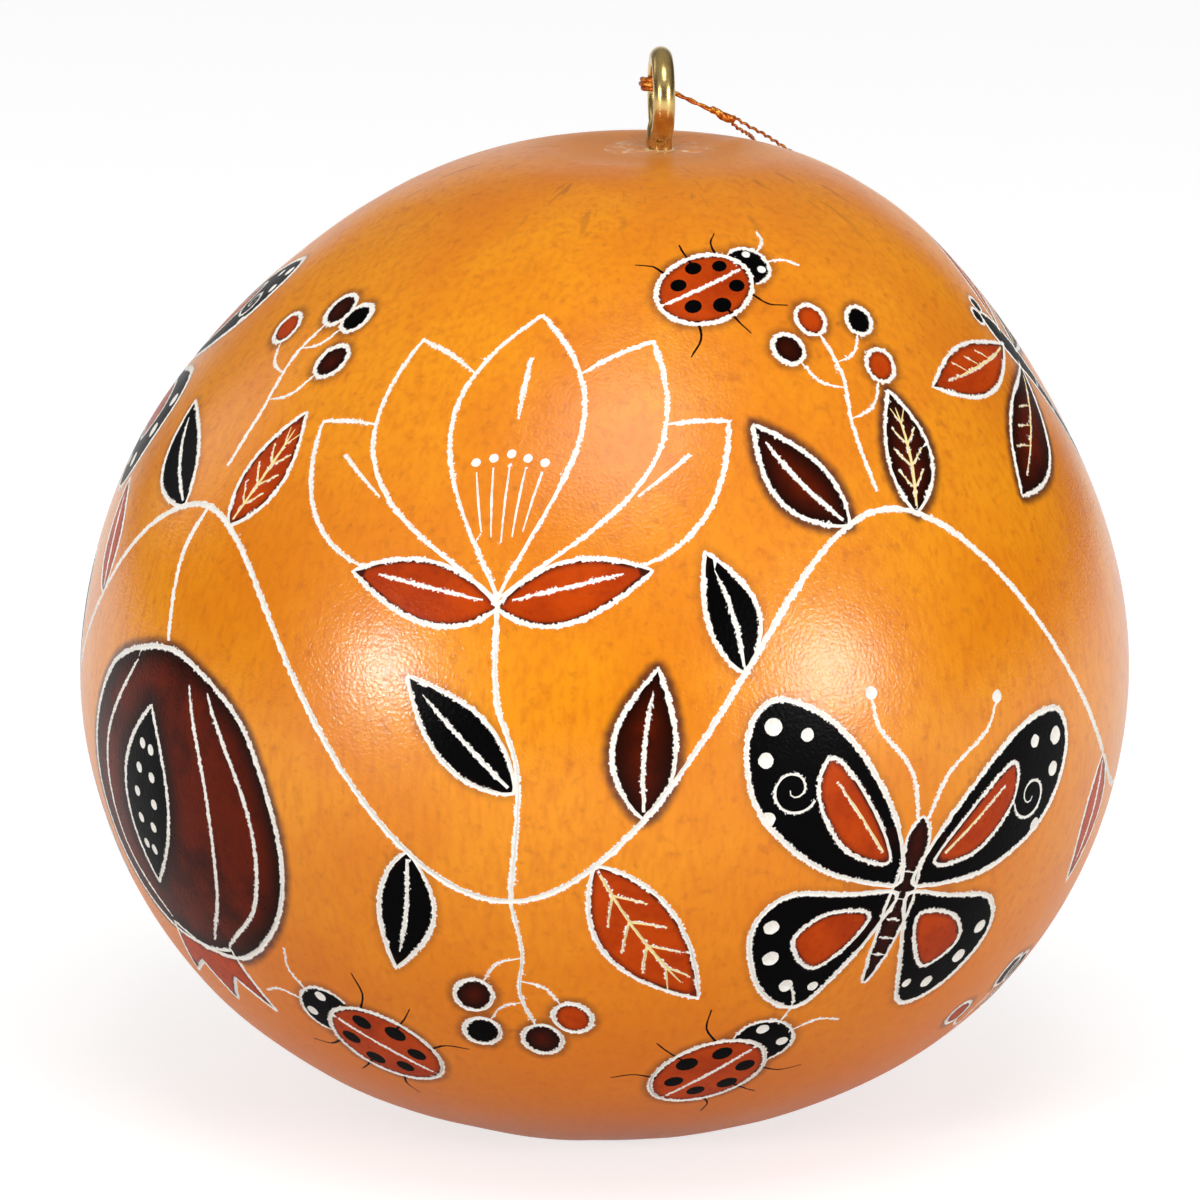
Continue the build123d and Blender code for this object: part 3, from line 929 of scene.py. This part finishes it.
def dye_finish(name, middle, rim, cloud, reach, gloss):
    """Dye or scorch in the skin: darker along its rim, cloudy in the middle, under the same wax."""
    f = Finish(name, Specular_IOR_Level=gloss)
    place = f.place()
    clouds = f.grain(4.5, 4, 0.6, place)
    strokes = f.grain(0.8, 3, 0.55, place)
    colour = f.mix(clouds.rise(0.38, 0.68), middle, cloud)
    edge = 1 - (f.field("near_rim") + clouds * 0.8).rise(0.3, reach)
    colour = f.mix(edge, colour, rim)
    colour = f.mix(strokes.rise(0.5, 0.8) * 0.35, colour, rim)
    char = 1 - (f.field("near_rim") + strokes * 0.4).rise(0.36, 0.62)
    colour = f.mix(char * clouds.rise(0.36, 0.56) * 0.85, colour, tone(32, 10, 5))
    colour = f.crumble(colour, place)
    _, _, height = f.axes(place)
    f.dull(f.unwaxed(height), colour)
    peel = f.grain(0.25, 2, 0.4, place, 0.3)
    return f.wear(Base_Color=colour, Roughness=0.24 + strokes * 0.1, Normal=f.bump(peel, 0.026))


def raw_finish():
    """The dry, scraped wall inside, with clinging shreds of pith."""
    f = Finish("raw_wall")
    shreds = f.grain(1.6, 4, 0.7, distortion=0.6)
    colour = f.mix(shreds.rise(0.35, 0.7), tone(226, 200, 158), tone(186, 146, 98))
    return f.wear(Base_Color=colour, Roughness=0.85 + shreds * 0.1, Normal=f.bump(shreds, 0.4))


for finish in (
    skin_finish(),
    line_finish("gouged_line", bare_rind, tone(236, 214, 182)),
    line_finish("pale_vein", tone(250, 232, 170), tone(226, 180, 96)),
    dye_finish("russet_dye", tone(194, 68, 3), tone(108, 30, 3), tone(170, 52, 2), 1.1, 0.12),
    dye_finish("burnt_brown", tone(98, 26, 3), tone(26, 6, 2), tone(62, 14, 2), 2.8, 0.06),
    dye_finish("black_dye", tone(5, 4, 5), tone(2, 2, 2), tone(3, 3, 3), 1.0, 0.03),
    raw_finish(),
):
    rind_mesh.materials.append(finish)
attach(carved_rind, "gourd")
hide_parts("gourd_shell")


# Stem stub. What is left of the gourd's own stalk, a corky plug cut off level with the crown: fibrous end
# grain, sunk a little in the middle, with drying cracks that run out from the hole bored for the eye.
stub_radius, stub_length, bore, bore_depth, tip_length = 4.17, 10.0, 0.85, 8.05, 1.8
cracks = [(0.4, 0.06), (1.3, 0.12), (2.5, 0.06), (3.3, 0.14), (4.4, 0.1), (5.2, 0.12)]


def turned_body(profile, segments, relief):
    """Points and faces of a piece turned round the stem from its profile; relief shifts each point."""
    points, rings = [], []
    for radius, height in profile:
        first = len(points)
        for k in range(segments if radius else 1):
            turn = 2 * pi * k / segments
            r, z = relief(radius, turn, height) if radius else (0.0, height)
            points.append((r * sin(turn), -r * cos(turn), z))
        rings.append(list(range(first, len(points))) if radius else [first] * segments)
    return np.array(points) + [stem_x, 0, crown_height], skinned(rings)


def add_piece(name, shell, finish, body, stands_for):
    """Make an object from points in millimetres and faces, and fasten it to its body."""
    points, faces = shell
    mesh = bpy.data.meshes.new(name)
    mesh.from_pydata([tuple(p) for p in np.array(points) * mm], [], faces)
    mesh.polygons.foreach_set("use_smooth", np.ones(len(faces), bool))
    mesh.set_sharp_from_angle(angle=radians(42))
    mesh.validate()
    mesh.materials.append(finish)
    made = put(name, mesh)
    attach(made, body)
    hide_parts(stands_for)
    return made


def stub_relief(radius, turn, height):
    """Uneven cut face: sunk in the middle, fibrous, cracked, with an edge that follows the scar."""
    if height < 0 or radius < bore + 0.1:
        return radius, height
    r = radius * (1 + (scar_edge(turn) - 1) * (radius / stub_radius) ** 2)
    x, y = r * sin(turn), r * cos(turn)
    inward = 1 - (radius / stub_radius) ** 2
    z = -0.1 * inward**2 + 0.06 * min(1, inward * 3) * noise.noise((x / 0.7, y / 0.7, 2.0))
    for place, depth in cracks:
        wander = place + 0.25 * noise.noise((r / 1.4, place, 0.0))
        gap = (turn - wander + pi) % (2 * pi) - pi
        z -= depth * np.exp(-((gap * r / 0.1) ** 2)) * min(1, max(0, (stub_radius - 0.3 - radius) / 0.6))
    return r, z


stub_profile = [(0, -stub_length)]
stub_profile += [(stub_radius - depth * np.tan(stem_taper), -depth) for depth in (stub_length, 1.2)]
stub_profile += [(radius, 0.0) for radius in np.linspace(stub_radius, bore, 26)]
stub_profile += [(bore, -bore_depth + tip_length), (0, -bore_depth)]
stub = turned_body(stub_profile, 120, stub_relief)


def cork_finish():
    """Dry end grain: pale straw in the middle, tan to pinkish at the rim, with dark pores and fibres."""
    f = Finish("corky_end_grain", Specular_IOR_Level=0.4)
    place = f.place()
    east, north, _ = f.axes(place)
    aside = east - stem_x * mm
    spread, fibres = f.fan(aside, north, 7.0, 500.0)
    pores = f.grain(0.32, 3, 0.6, place)
    blotches = f.grain(1.4, 3, 0.6, place)
    rim = (spread + blotches * (2.4 * mm)).rise(2.6 * mm, 5.2 * mm)
    colour = f.mix(blotches.rise(0.35, 0.7), tone(228, 158, 96), tone(224, 146, 84))
    colour = f.mix(fibres.rise(0.54, 0.74) * 0.5, colour, tone(232, 204, 168))
    colour = f.mix(pores.rise(0.54, 0.7) * 0.2, colour, tone(160, 96, 52))
    colour = f.mix(rim, colour, crown_tan)
    flecks = f.grain(1.3, 3, 0.6, place, 0.5).rise(0.52, 0.68)
    beside_eye = (aside * aside / (spread * spread)).rise(0.2, 0.8)
    colour = f.mix(flecks * beside_eye * 0.7, colour, tone(246, 226, 198))
    relief = f.bump(pores * 0.5 + fibres * 0.5, 0.05)
    return f.wear(Base_Color=colour, Roughness=0.44 + pores * 0.14, Normal=relief)


add_piece("stem_stub_cut", stub, cork_finish(), "gourd", "stem_stub")


# Screw eye. Brass wire, bent into a ring in one piece with its shank; the shank has a rolled wood thread
# and a gimlet point, and is screwed 8 mm into the stub. The ring stands nearly edge on to the front.
wire, ring_radius, eye_neck, eye_turn = 0.82, 2.8, 0.3, radians(4.2)
eye_x, eye_seat = stem_x + 0.12, crown_height - 0.18
bend_radius, bend_angle, ring_rise, closing_angle = 1.456, 70, 4.30, 240
shank_length, plain_shank, thread_pitch, thread_cut = 8.0, 0.9, 0.9, 0.24


def round_bar(path, radius, sides):
    """Points and faces of a bar along a line; radius gives its size at each place along and turn round."""
    path = np.array(path, float)
    way = np.gradient(path, axis=0)
    way /= np.linalg.norm(way, axis=1)[:, None]
    side = np.cross(way[0], (0.31, 0.52, 0.8))
    points = []
    for i, (place, ahead) in enumerate(zip(path, way)):
        side = side - ahead * (side @ ahead)
        side /= sqrt(side @ side)
        other = np.cross(ahead, side)
        for turn in 2 * pi * np.arange(sides) / sides:
            points.append(place + radius(i, turn) * (side * cos(turn) + other * sin(turn)))
    last = len(points)
    rings = [list(range(first, first + sides)) for first in range(0, last, sides)]
    points += [path[0], path[-1]]
    return points, skinned([[last] * sides] + rings + [[last + 1] * sides])


def arc(x, z, radius, start, end):
    """Close points along an arc of the bent wire."""
    count = int(radians(abs(end - start)) * radius / 0.13)
    angles = np.radians(np.linspace(start, end, count + 1))
    return [(x + radius * cos(a), z + radius * sin(a)) for a in angles]


shank = [(0.0, z) for z in np.arange(-shank_length, eye_neck - 0.04, 0.09)]
eye_line = shank + arc(-bend_radius, eye_neck, bend_radius, 0, bend_angle)
eye_line += arc(0, ring_rise, ring_radius, 180 + bend_angle, 180 - closing_angle)[1:]
eye_path = [(eye_x - x * sin(eye_turn), x * cos(eye_turn), eye_seat + z) for x, z in eye_line]
for aside, back, z in ((0.22, 1.26, 1.5), (0.28, 1.14, 1.0), (0.32, 1.08, 0.5), (0.34, 1.06, -0.25)):
    eye_path.append((eye_x - aside, back, eye_seat + z))


def eye_size(i, turn):
    """Plain wire above, a thread below the stub's face, and a point at the foot; the cut end is eased."""
    depth = -eye_line[i][1] if i < len(shank) else 0.0
    if i == len(eye_path) - 1:
        return wire * 0.86
    if depth < plain_shank:
        return wire
    share = ((depth / thread_pitch) - turn / (2 * pi)) % 1.0
    groove = thread_cut * (1 - min(1.0, abs(share - 0.5) / 0.32)) * min(1, (depth - plain_shank) / 0.8)
    return max(0.02, (wire - groove) * min(1, (shank_length - depth) / tip_length))


def brass_finish():
    """Polished brass, with fine drawing marks, a little tarnish and finger marks."""
    f = Finish("polished_brass", Metallic=1.0)
    place = f.place()
    tarnish = f.grain(1.9, 4, 0.6, place)
    marks = f.grain(0.18, 3, 0.6, place, 0.4)
    colour = f.mix(tarnish.rise(0.4, 0.72), tone(222, 192, 124), tone(194, 156, 90))
    colour = f.mix(marks.rise(0.58, 0.76) * 0.35, colour, tone(122, 88, 38))
    roughness = 0.19 + tarnish * 0.12 + marks * 0.05
    return f.wear(Base_Color=colour, Roughness=roughness, Normal=f.bump(marks, 0.004, 0.4))


eye = round_bar(eye_path, eye_size, 28)
add_piece("brass_screw_eye", eye, brass_finish(), "gourd", "screw_eye")


# Glue. A dab of craft glue run round the shank where it enters the stub: dried clear to ivory, lumpy, and
# spread unevenly over the end grain.
glue_reach, glue_height, glue_foot, glue_edge = 1.16, 0.24, -0.45, -0.22


def glue_relief(radius, turn, height):
    """A lumpy ring that runs out in smears to both sides."""
    if radius < bore + 0.01:
        return radius, height
    share = (radius - bore) / (glue_reach - bore)
    smear = 0.6 * abs(sin(turn)) ** 5 * (0.6 + 1.1 * noise.noise((2.5 * cos(turn), 2.5 * sin(turn), 8.0)))
    lobe = 0.25 * noise.noise((2.2 * cos(turn), 2.2 * sin(turn), 3.0)) + max(0.0, smear)
    r = radius + share * lobe
    lump = 1 + 0.8 * noise.noise((r * cos(turn) / 0.4, r * sin(turn) / 0.4, 7.0))
    return r, height if height == glue_foot else glue_edge + (height - glue_edge) * lump


glue_profile = [(bore, glue_foot), (glue_reach * 0.98, glue_foot)]
inner_edge = bore - 0.03
for share in np.linspace(1, 0, 12):
    height = glue_edge + glue_height * (1 - share) ** 0.7
    glue_profile.append((inner_edge + (glue_reach - inner_edge) * share, height))
glue_profile.append((bore, glue_foot))
glue = turned_body(glue_profile, 120, glue_relief)


def glue_finish():
    """Dried glue: ivory, a little cloudy, glossy on its lumps."""
    f = Finish("dried_glue_dab", Coat_Weight=0.4, Coat_Roughness=0.15)
    clouds = f.grain(0.6, 3, 0.6)
    colour = f.mix(clouds.rise(0.35, 0.7), tone(230, 196, 146), tone(210, 156, 98))
    return f.wear(Base_Color=colour, Roughness=0.28 + clouds * 0.25, Normal=f.bump(clouds, 0.06))


add_piece("glue_dab", glue, glue_finish(), "gourd", "glue_bead")


# Pith and seeds. Inside the closed gourd the pith has dried to a crumbly cake, and the seeds lie loose
# round it; the solids keep their shape and get their own finishes.
def pith_finish():
    """Dried pith: spongy, papery and pale, with darker hollows."""
    f = Finish("spongy_pith", Specular_IOR_Level=0.1)
    holes = f.node("ShaderNodeTexVoronoi", None, {"Vector": f.place(), "Scale": 900.0})
    shreds = f.grain(1.2, 4, 0.7)
    colour = f.mix(shreds.rise(0.35, 0.7), tone(232, 214, 176), tone(198, 164, 112))
    relief = f.bump(holes * 0.6 + shreds * 0.4, 0.35)
    return f.wear(Base_Color=colour, Roughness=0.85 + shreds * 0.1, Normal=relief)


def seed_finish():
    """Seed coats: buff, with darker ridges and a dull shine."""
    f = Finish("buff_seed_coat", Specular_IOR_Level=0.35)
    ridges = f.grain(0.9, 3, 0.6, distortion=1.2)
    blotches = f.grain(3.0, 3, 0.6)
    colour = f.mix(blotches.rise(0.35, 0.7), tone(214, 184, 138), tone(176, 136, 90))
    colour = f.mix(ridges.rise(0.5, 0.75) * 0.5, colour, tone(132, 92, 56))
    return f.wear(Base_Color=colour, Roughness=0.5 + ridges * 0.2, Normal=f.bump(ridges, 0.15))


nodes["pith_cake"].material_slots[0].material = pith_finish()
nodes["seeds"].material_slots[0].material = seed_finish()


# Hanging thread. One length of copper-gold metallic thread, two plies twisted together: hitched round the
# ring, twisted on itself for a short neck, drawn up in a small knot, and let fall behind as an open loop.
thread, crinkle = 0.32, 1.2
hitch_centre = np.array([3.831, 2.801, 78.88])
swing_axis = np.array([0.085141, 0.084467, 0.992782])
knot_reach, knot_length = np.array([5.03, 2.4, -2.76]), 2.2
knot_way = knot_reach / sqrt(knot_reach @ knot_reach)
beside = np.cross(swing_axis, knot_way)
beside /= sqrt(beside @ beside)
away = np.cross(beside, swing_axis)
knot_centre = hitch_centre + knot_reach
far_face = knot_centre + knot_way * knot_length / 2
lift = np.cross(knot_way, beside)
loop_route = [
    tuple(far_face - 0.2 * lift + 0.1 * beside),
    *((9.85, 6.5, 75.0), (10.45, 7.8, 74.4), (11.0, 9.6, 73.8), (11.35, 12.4, 73.0), (11.9, 16.4, 71.2)),
    *((12.6, 21.7, 67.2), (13.1, 26.7, 62.2), (14.2, 30.9, 56.0), (15.9, 33.7, 49.8), (18.3, 34.9, 44.0)),
    *((21.5, 34.1, 40.0), (24.2, 32.3, 39.7), (26.2, 29.8, 43.0), (26.6, 26.9, 48.6), (25.2, 24.1, 54.7)),
    *((22.4, 21.3, 60.9), (19.4, 17.9, 66.3), (15.6, 14.3, 70.7), (13.5, 11.6, 72.6), (12.77, 10.2, 73.3)),
    *((12.0, 8.8, 74.05), (11.1, 7.6, 74.7), (10.3, 6.6, 75.35)),
    tuple(far_face + 0.2 * lift - 0.1 * beside),
]


def flowing(points_mm):
    """Close points in metres along one smooth spline that has these points as its controls."""
    curve = bpy.data.curves.new("thread_route", "CURVE")
    curve.dimensions, curve.resolution_u = "3D", 24
    spline = curve.splines.new("NURBS")
    spline.points.add(len(points_mm) - 1)
    for control, place in zip(spline.points, points_mm):
        control.co = (*(c * mm for c in place), 1)
    spline.order_u = 3
    spline.use_endpoint_u = True
    holder = bpy.data.objects.new("thread_route", curve)
    mesh = bpy.data.meshes.new_from_object(holder)
    line = np.array([tuple(v.co) for v in mesh.vertices])
    bpy.data.objects.remove(holder)
    bpy.data.meshes.remove(mesh)
    bpy.data.curves.remove(curve)
    return line


def lay_thread(line, size, wave):
    """Lay a crinkled thread along a line of points in metres: it winds a little way round the line."""
    line = line / mm
    along = np.r_[0, np.cumsum(np.linalg.norm(np.diff(line, axis=0), axis=1))]
    even = np.linspace(0, along[-1], int(along[-1] / 0.07) + 2)
    line = np.stack([np.interp(even, along, line[:, axis]) for axis in range(3)], -1)

    def crinkled(i, turn):
        angle = turn - 2 * pi * even[i] / crinkle
        return wave * cos(angle) + sqrt(size**2 - (wave * sin(angle)) ** 2)

    return round_bar(line, crinkled, 12)


def thread_finish():
    """Metallic thread: copper-gold foil laid round a core, with pale gold glints painted into its colour in
    patches.
    """
    f = Finish("copper_gold_thread", Metallic=0.7)
    painted_glints = f.grain(0.5, 2, 0.5)
    foil = f.grain(0.09, 2, 0.6)
    # Painted highlight: the pale gold patches stand in for glints where the foil's turns catch the light.
    colour = f.mix(painted_glints.rise(0.46, 0.7), tone(184, 92, 24), tone(250, 176, 70))
    colour = f.mix(foil.rise(0.55, 0.75) * 0.4, colour, tone(120, 52, 12))
    return f.wear(Base_Color=colour, Roughness=0.26 + foil * 0.2, Normal=f.bump(foil, 0.03))


gold_thread = thread_finish()


def add_thread(name, strands, stands_for):
    """Add one piece of the thread, made of its strands. All of the thread swings together."""
    points, faces = [], []
    for more_points, more_faces in strands:
        faces += [tuple(len(points) + k for k in face) for face in more_faces]
        points += more_points
    return add_piece(name, (points, faces), gold_thread, "thread_loop", stands_for)


hitch_radius, hitch_pitch, neck_twist = 0.99, 0.33, radians(64)
hitch = []
for turn in np.radians(np.arange(90, 991, 30)):
    round_wire = away * cos(turn) + beside * sin(turn)
    rise = hitch_pitch * (turn / (2 * pi) - 1.5)
    swell = 0.16 * sin(turn / 5.5 - 0.285) ** 2 + 0.04 * sin(turn * 1.7)
    hitch.append(hitch_centre + (hitch_radius + swell) * round_wire + swing_axis * rise)
necks = []
for start in (pi / 2, -pi / 2):
    neck = []
    for i in range(9):
        angle = start + neck_twist * i
        offset = (0.25 if i == 0 else 0.09) * (beside * sin(angle) + lift * cos(angle))
        neck.append(hitch_centre + knot_way * (1.5 + 0.45 * i) + offset)
    necks.append(neck)
turns = [lay_thread(flowing(hitch), 0.19, 0.02)]
for neck, end in zip(necks, (hitch[0], hitch[-1])):
    turns.append(lay_thread(flowing([end] + neck), 0.115, 0.015))
bight = add_thread("thread_hitch", turns, "cord_bight")

knot_share = np.linspace(0, 1, 56)
knot_line = knot_centre + knot_way * (knot_share[:, None] - 0.5) * knot_length
knot_line += 0.07 * np.sin(7.5 * knot_share[:, None]) * lift


def knot_size(i, turn):
    """Three strands drawn tight round each other: a turn at the neck, then fuller towards the loop."""
    share = knot_share[i]
    full = 0.19 + 0.17 * sin(0.82 * pi * share**1.3) + 0.09 * np.exp(-(((share - 0.09) / 0.07) ** 2))
    return full * (0.78 + 0.22 * abs(cos(1.5 * turn - 7.0 * share)) ** 0.7)


tied = [round_bar(knot_line, knot_size, 30)]
for side in (-1, 1):
    start = knot_centre - knot_way * 1.15 + side * 0.12 * beside
    end = far_face + side * (0.2 * lift - 0.1 * beside)
    middle = knot_centre + side * 0.1 * lift
    strand = flowing([start, middle - 0.4 * knot_way, middle + 0.4 * knot_way, end])
    tied.append(lay_thread(strand, 0.12, 0.05))
knot = add_thread("thread_knot", tied, "cord_knot")

loop_line = flowing(loop_route)
loop = add_thread("hanging_thread", [lay_thread(loop_line, 0.115, 0.055)], "hanging_loop")


# Floor, light and camera. The gourd stands on a white paper sweep, with a soft light to each side, one above
# and a dim card behind, and the camera looks down on it by 14 degrees from straight in front.
floor_mesh, half = bpy.data.meshes.new("white_sweep"), 0.9
floor_corners = [(-half, -half, 0), (half, -half, 0), (half, half, 0), (-half, half, 0)]
floor_mesh.from_pydata(floor_corners, [], [(0, 1, 2, 3)])
floor = put("white_sweep", floor_mesh)
sweep = Finish("white_paper", Roughness=0.9, Emission_Strength=1.0)
fibre = sweep.grain(2.0, 3, 0.6)
sweep.wear(
    Base_Color=sweep.mix(fibre, (0.5, 0.5, 0.5), (0.54, 0.54, 0.54)),
    Emission_Color=sweep.mix(sweep.seen(), (0, 0, 0), (0.69, 0.69, 0.69)),
)
floor_mesh.materials.append(sweep.made)


def aim(made, place, target):
    """Stand a lamp or the camera at a place, and turn it to its target."""
    made.location = place
    made.rotation_euler = (target - made.location).to_track_quat("-Z", "Y").to_euler()


def soft_box(name, azimuth, elevation, distance, size, power):
    """An area light that faces the gourd from some degrees round to the right of the camera."""
    lamp = bpy.data.lights.new(name, "AREA")
    lamp.shape, lamp.size, lamp.energy = "DISK", size, power
    a, e, target = radians(azimuth), radians(elevation), Vector((0, 0, 0.04))
    place = target + distance * Vector((sin(a) * cos(e), -cos(a) * cos(e), sin(e)))
    aim(put(name, lamp), place, target)


soft_box("left_box", -48, 11, 0.9, 0.15, 3.6)
soft_box("right_box", 48, 11, 0.9, 0.3, 4.1)
soft_box("top_box", 6, 62, 1.0, 0.5, 3.3)
soft_box("left_card", -125, 20, 0.9, 0.35, 0.35)
room = Finish("studio", bpy.data.worlds, "Background")
_, behind, upward = room.axes(room.place("Generated"))
light = room.mix(upward.rise(0.1, 0.8), (0.05, 0.05, 0.05), (0.38, 0.38, 0.38))
bpy.context.scene.world = room.wear(Color=room.mix(room.seen() * behind.rise(0.86, 0.99), light, (1, 1, 1)))

distance, look_down, focal = 0.6, radians(14.0), 236.0
camera_data = bpy.data.cameras.new("camera")
camera_data.lens, camera_data.sensor_width = focal, 36.0
camera_data.clip_start = 0.05
camera = put("camera", camera_data)
stand = Vector((0, -distance * cos(look_down), 0.038 + distance * sin(look_down)))
aim(camera, stand, Vector((-0.374, 0.364, 39.459)) * mm)
bpy.context.scene.camera = camera
bpy.context.scene.view_settings.view_transform = "Standard"
